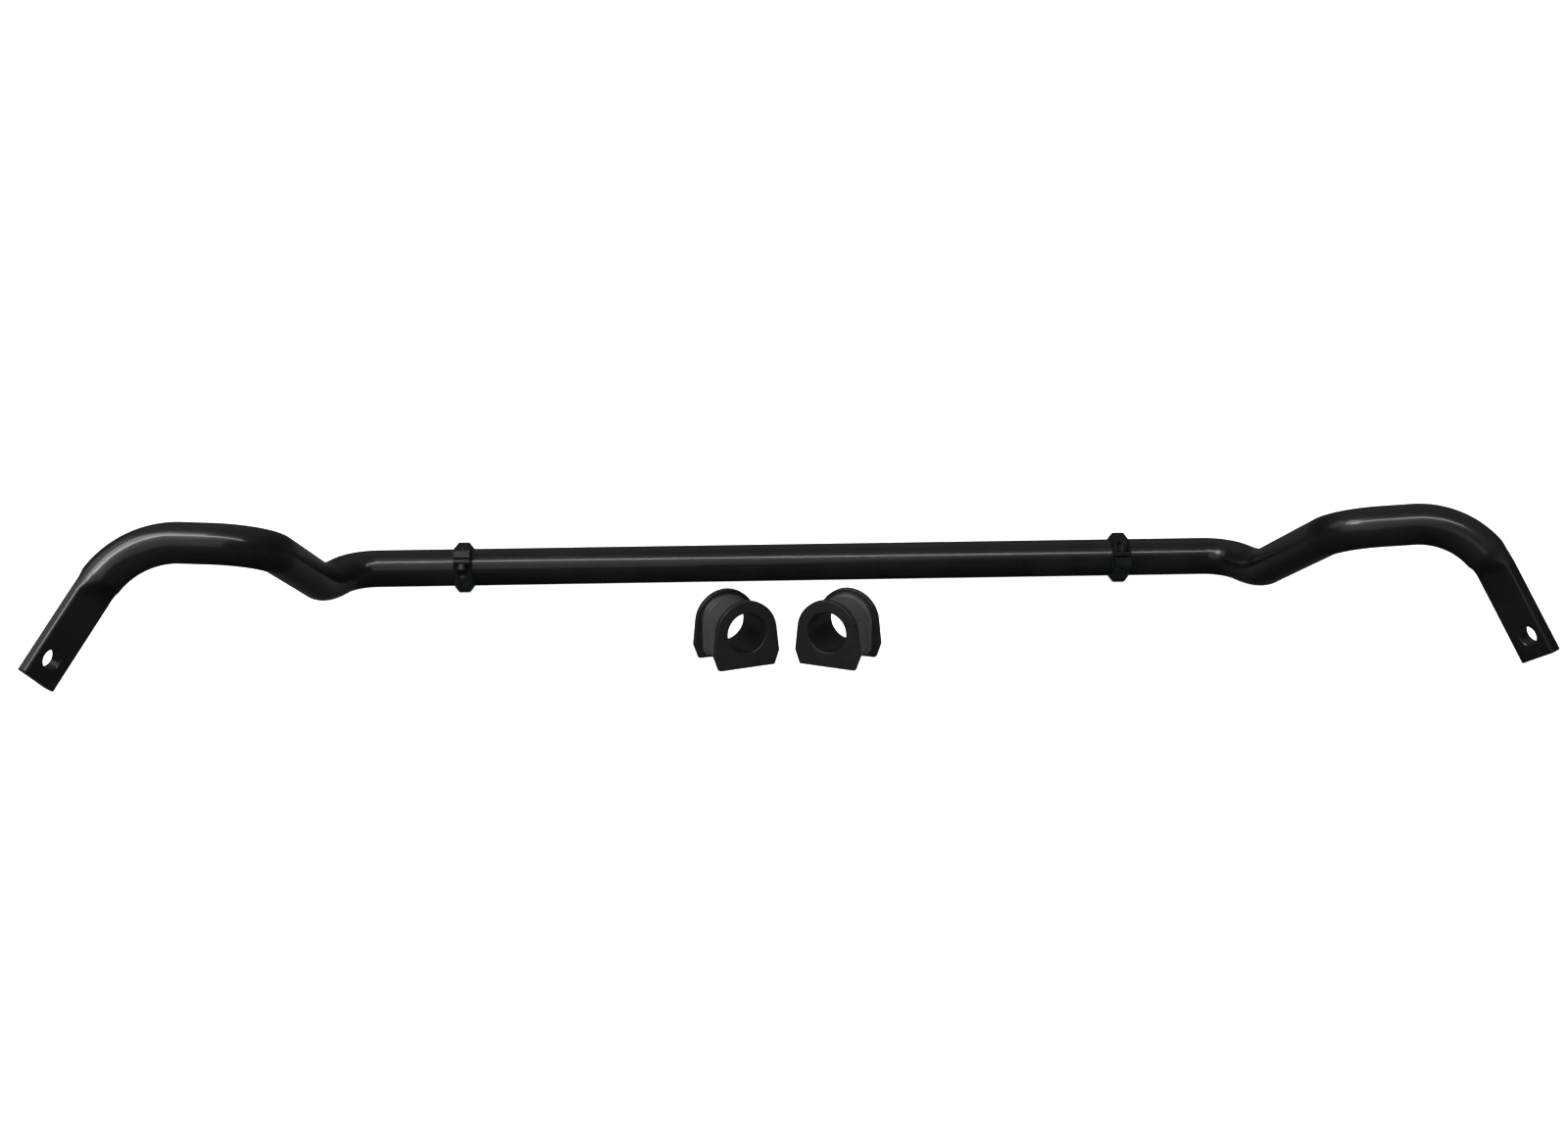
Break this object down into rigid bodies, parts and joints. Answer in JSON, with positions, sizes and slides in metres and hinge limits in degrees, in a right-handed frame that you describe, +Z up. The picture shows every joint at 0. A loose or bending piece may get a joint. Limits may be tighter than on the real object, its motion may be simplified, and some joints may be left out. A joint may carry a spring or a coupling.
{
  "type": "sway bar",
  "caption": "Bent round sway bar with flat drilled ends, clamp-on split collars that stop it sliding sideways, and loose D-shaped mounting bushes.",
  "frame": {"origin": "on the ground under the middle of the whole layout's bounding box", "axes": "+X along the straight middle of the bar, to the right; +Y away from the arm tips; +Z up"},
  "size_m": [1.0762, 0.2954, 0.1116],
  "materials": {
    "powder_coat": "semi-gloss black powder coat",
    "lock_alloy": "satin black anodised",
    "screw_steel": "black oxide",
    "polyurethane": "moulded satin black"
  },
  "bodies": {
    "sway_bar": {"sway_bar": "powder_coat"},
    "left_lock": {"left_lock_lower_half": "lock_alloy"},
    "left_lock_cap": {"left_lock_upper_half": "lock_alloy"},
    "left_lower_screw": {"left_lock_lower_screw": "screw_steel"},
    "left_upper_screw": {"left_lock_upper_screw": "screw_steel"},
    "right_lock": {"right_lock_lower_half": "lock_alloy"},
    "right_lock_cap": {"right_lock_upper_half": "lock_alloy"},
    "right_lower_screw": {"right_lock_lower_screw": "screw_steel"},
    "right_upper_screw": {"right_lock_upper_screw": "screw_steel"},
    "left_bush": {"left_bush": "polyurethane"},
    "right_bush": {"right_bush": "polyurethane"}
  },
  "joints": [
    {"name": "left_lock_slide", "type": "slide", "parent": "sway_bar", "child": "left_lock", "axis": [1, 0, 0], "range_m": [-0.055, 0.2]},
    {"name": "left_lock_open", "type": "slide", "parent": "left_lock", "child": "left_lock_cap", "axis": [0, 0.5225, 0.8526], "range_m": [0, 0.004]},
    {"name": "left_lower_screw_turn", "type": "hinge", "parent": "left_lock", "child": "left_lower_screw", "pos_m": [-0.2593, 0.10572, 0.03057], "axis": [0, -0.5225, -0.8526], "range_deg": [0, 1801]},
    {"name": "left_upper_screw_turn", "type": "hinge", "parent": "left_lock_cap", "child": "left_upper_screw", "pos_m": [-0.2593, 0.13914, 0.01009], "axis": [0, 0.5225, 0.8526], "range_deg": [0, 1801]},
    {"name": "right_lock_slide", "type": "slide", "parent": "sway_bar", "child": "right_lock", "axis": [1, 0, 0], "range_m": [-0.2, 0.055]},
    {"name": "right_lock_open", "type": "slide", "parent": "right_lock", "child": "right_lock_cap", "axis": [0, 0.2588, 0.9659], "range_m": [0, 0.004]},
    {"name": "right_lower_screw_turn", "type": "hinge", "parent": "right_lock", "child": "right_lower_screw", "pos_m": [0.2747, 0.14136, 0.01525], "axis": [0, -0.2588, -0.9659], "range_deg": [0, 1801]},
    {"name": "right_upper_screw_turn", "type": "hinge", "parent": "right_lock_cap", "child": "right_upper_screw", "pos_m": [0.2747, 0.1035, 0.0254], "axis": [0, 0.2588, 0.9659], "range_deg": [0, 1801]},
    {"name": "left_bush_lift", "type": "slide", "parent": "sway_bar", "child": "left_bush", "axis": [0, 0, 1], "range_m": [0, 0.15]},
    {"name": "right_bush_lift", "type": "slide", "parent": "sway_bar", "child": "right_bush", "axis": [0, 0, 1], "range_m": [0, 0.15]}
  ],
  "couplings": [
    {"joint": "left_lower_screw_turn", "follows": "left_lock_open", "rad_per_m": 7854},
    {"joint": "left_upper_screw_turn", "follows": "left_lock_open", "rad_per_m": 7854},
    {"joint": "right_lower_screw_turn", "follows": "right_lock_open", "rad_per_m": 7854},
    {"joint": "right_upper_screw_turn", "follows": "right_lock_open", "rad_per_m": 7854}
  ]
}
